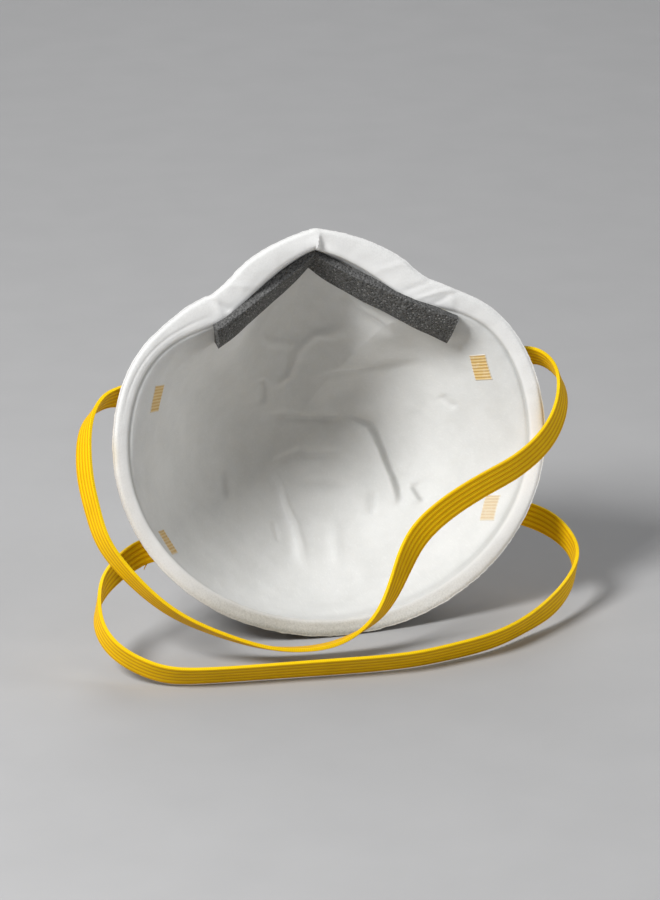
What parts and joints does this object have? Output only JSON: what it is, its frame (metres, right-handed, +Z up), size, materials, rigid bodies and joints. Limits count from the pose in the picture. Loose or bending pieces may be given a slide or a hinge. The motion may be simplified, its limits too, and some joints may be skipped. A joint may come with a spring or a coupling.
{
  "type": "disposable dust mask",
  "caption": "Cup-shaped disposable dust mask with a moulded fibre cup, foam nose pad, bendable metal nose clip and welded elastic head straps.",
  "frame": {"origin": "On the surface the mask stands on, straight below the centre of the face opening", "axes": "+Z up, +X towards the right-hand side seen from the wearer's side, -Y out of the face opening towards the wearer; the cup is symmetric about x = 0 and its opening leans back from upright"},
  "size_m": [0.1529, 0.1039, 0.1155],
  "materials": {
    "inner_web": "soft matte nonwoven",
    "moulded_fibre": "stiff matte moulded fibre",
    "filter_fibre": "soft matte fine fibre",
    "outer_web": "soft matte nonwoven",
    "grey_foam": "matte open-cell foam",
    "adhesive": "dull film",
    "clip_metal": "satin",
    "fused_web": "translucent fused fibre",
    "yellow_elastic": "ribbed woven elastic"
  },
  "bodies": {
    "cup": {"inner_cover_web": "inner_web", "moulded_shell": "moulded_fibre", "filter_web": "filter_fibre", "outer_cover_web": "outer_web", "nose_foam": "grey_foam", "foam_adhesive": "adhesive", "nose_clip": "clip_metal", "clip_adhesive": "adhesive", "upper_left_weld": "fused_web", "upper_right_weld": "fused_web", "lower_left_weld": "fused_web", "lower_right_weld": "fused_web"},
    "upper_band": {"upper_strap": "yellow_elastic"},
    "lower_band": {"lower_strap": "yellow_elastic"}
  },
  "joints": [
    {"name": "upper_strap_swing", "type": "hinge", "parent": "cup", "child": "upper_band", "pos_m": [0, 0.01358, 0.06989], "axis": [-1, 0, 0], "range_deg": [0, 110]},
    {"name": "lower_strap_swing", "type": "hinge", "parent": "cup", "child": "lower_band", "pos_m": [0, 0.00236, 0.02611], "axis": [-1, 0, 0], "range_deg": [0, 30]}
  ]
}
